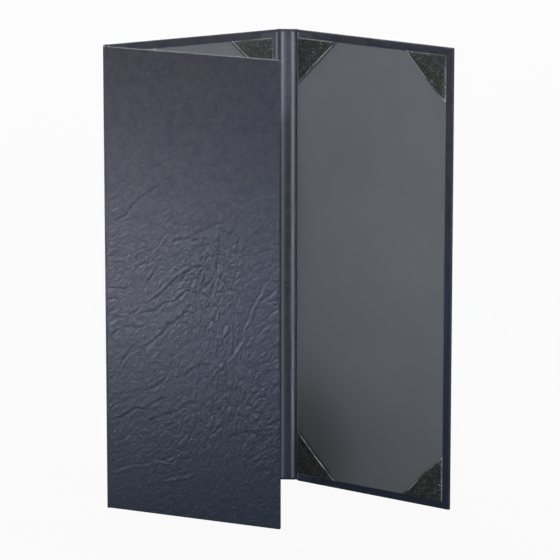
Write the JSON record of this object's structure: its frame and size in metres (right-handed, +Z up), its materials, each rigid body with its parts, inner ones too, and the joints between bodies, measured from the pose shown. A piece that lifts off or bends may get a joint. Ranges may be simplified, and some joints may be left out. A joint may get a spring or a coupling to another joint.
{
  "type": "menu cover",
  "caption": "Three-panel folding menu cover in dark leatherette, grey lined, with black corner pockets that hold menu sheets, standing half open",
  "frame": {"origin": "middle of the standing menu's outline in plan, on the surface it stands on", "axes": "+Z up along the panels' long edges, +X along the middle panel towards the wider spine, +Y out of the middle panel's outside"},
  "size_m": [0.1908, 0.1152, 0.2985],
  "materials": {
    "cover": "satin, wrinkled grain",
    "lining": "satin, fine grain",
    "liner": "smooth matte",
    "pocket": "satin, pebbled grain",
    "board": "raw grey board",
    "card": "raw grey card"
  },
  "bodies": {
    "middle_panel": {"middle_board": "board", "middle_cover": "cover", "middle_liner": "liner", "middle_lining_left_edge": "lining", "middle_lining_right_edge": "lining", "middle_pocket_bottom_left": "pocket", "middle_pocket_bottom_right": "pocket", "middle_pocket_top_left": "pocket", "middle_pocket_top_right": "pocket"},
    "left_spine": {"left_spine_card": "card", "left_spine_cover": "cover", "left_spine_lining": "lining", "left_web_inner": "cover", "left_web_outer": "cover"},
    "left_panel": {"left_board": "board", "left_cover": "cover", "left_liner": "liner", "left_lining_right_edge": "lining", "left_pocket_bottom_left": "pocket", "left_pocket_bottom_right": "pocket", "left_pocket_top_left": "pocket", "left_pocket_top_right": "pocket"},
    "right_spine": {"right_spine_card": "card", "right_spine_cover": "cover", "right_spine_lining": "lining", "right_web_inner": "cover", "right_web_outer": "cover"},
    "right_panel": {"right_board": "board", "right_cover": "cover", "right_liner": "liner", "right_lining_left_edge": "lining", "right_pocket_bottom_left": "pocket", "right_pocket_bottom_right": "pocket", "right_pocket_top_left": "pocket", "right_pocket_top_right": "pocket"}
  },
  "joints": [
    {"name": "left_spine_fold", "type": "hinge", "parent": "middle_panel", "child": "left_spine", "pos_m": [-0.09215, 0.05759, 0], "axis": [0, 0, 1], "range_deg": [-63.7, 24.3], "deforming": ["left_web_inner"]},
    {"name": "left_panel_fold", "type": "hinge", "parent": "left_spine", "child": "left_panel", "pos_m": [-0.09538, 0.05105, 0], "axis": [0, 0, 1], "range_deg": [-63.7, 24.3], "deforming": ["left_web_outer"]},
    {"name": "right_spine_fold", "type": "hinge", "parent": "middle_panel", "child": "right_spine", "pos_m": [0.03265, 0.05759, 0], "axis": [0, 0, -1], "range_deg": [-31.9, 27], "deforming": ["right_web_inner"]},
    {"name": "right_panel_fold", "type": "hinge", "parent": "right_spine", "child": "right_panel", "pos_m": [0.04207, 0.05172, 0], "axis": [0, 0, -1], "range_deg": [-31.9, 27], "deforming": ["right_web_outer"]}
  ],
  "couplings": [
    {"joint": "left_panel_fold", "follows": "left_spine_fold", "ratio": 1},
    {"joint": "right_panel_fold", "follows": "right_spine_fold", "ratio": 1}
  ]
}
